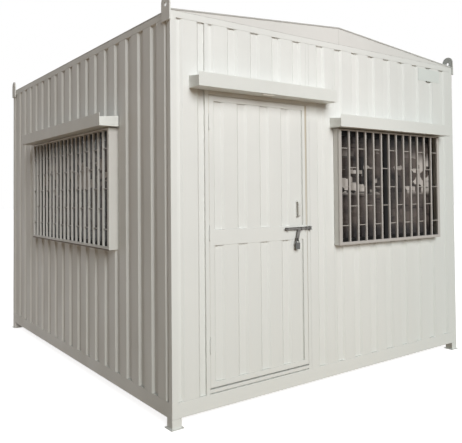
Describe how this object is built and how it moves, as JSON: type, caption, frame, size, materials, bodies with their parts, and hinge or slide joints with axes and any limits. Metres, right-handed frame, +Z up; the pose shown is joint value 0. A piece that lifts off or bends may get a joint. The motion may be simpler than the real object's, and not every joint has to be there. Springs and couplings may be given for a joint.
{
  "type": "portable cabin",
  "caption": "Portable site cabin of ribbed painted steel with a low gable roof, an outward door with a slide bolt and padlock, grilled windows, canopies, lifting lugs and stub legs.",
  "frame": {"origin": "middle of the whole object's outline on the ground, under the feet", "axes": "+X to the right along the door front, +Y from the door front to the rear, +Z up"},
  "size_m": [3.212, 3.797, 2.804],
  "materials": {
    "frame_paint": "satin",
    "gable_paint": "satin",
    "sheet_paint": "satin",
    "roof_paint": "satin",
    "door_paint": "satin",
    "canopy_paint": "satin",
    "grille_paint": "satin",
    "chassis_paint": "matte",
    "lining_board": "satin",
    "floor_board": "matte",
    "window_black": "satin",
    "dark_glass": "gloss",
    "bolt_zinc": "satin",
    "lock_steel": "satin",
    "pull_paint": "satin"
  },
  "bodies": {
    "cabin": {"support_legs": "frame_paint", "end_base_beams": "frame_paint", "side_base_beams": "frame_paint", "floor_joists": "chassis_paint", "floor_deck": "floor_board", "corner_posts": "frame_paint", "end_top_rails": "frame_paint", "side_top_rails": "frame_paint", "lifting_lugs": "frame_paint", "gable_plates": "gable_paint", "left_roof_sheet": "roof_paint", "right_roof_sheet": "roof_paint", "ceiling_panel": "lining_board", "front_wall_sheets": "sheet_paint", "left_wall_sheets": "sheet_paint", "right_wall_sheet": "sheet_paint", "rear_wall_sheet": "sheet_paint", "front_lining": "lining_board", "left_lining": "lining_board", "right_lining": "lining_board", "rear_lining": "lining_board", "door_jambs": "frame_paint", "door_head": "frame_paint", "door_sill": "frame_paint", "jamb_hinges": "frame_paint", "bolt_keeper": "bolt_zinc", "front_window_frame": "window_black", "front_window_glass": "dark_glass", "front_window_grille": "grille_paint", "left_window_frame": "window_black", "left_window_glass": "dark_glass", "left_window_grille": "grille_paint", "grille_surrounds": "grille_paint", "door_canopy": "canopy_paint", "front_window_canopy": "canopy_paint", "left_window_canopy": "canopy_paint"},
    "door": {"door_leaf_frame": "door_paint", "door_panels": "door_paint", "door_back_sheet": "door_paint", "leaf_hinges": "door_paint", "bolt_brackets": "bolt_zinc", "door_pull": "pull_paint"},
    "bolt": {"slide_bolt": "bolt_zinc", "padlock": "lock_steel"}
  },
  "joints": [
    {"name": "door_hinge", "type": "hinge", "parent": "cabin", "child": "door", "pos_m": [-1.1675, -1.7795, 0.204], "axis": [0, 0, -1], "range_deg": [0, 110]},
    {"name": "bolt_slide", "type": "slide", "parent": "door", "child": "bolt", "axis": [-1, 0, 0], "range_m": [0, 0.045]}
  ]
}
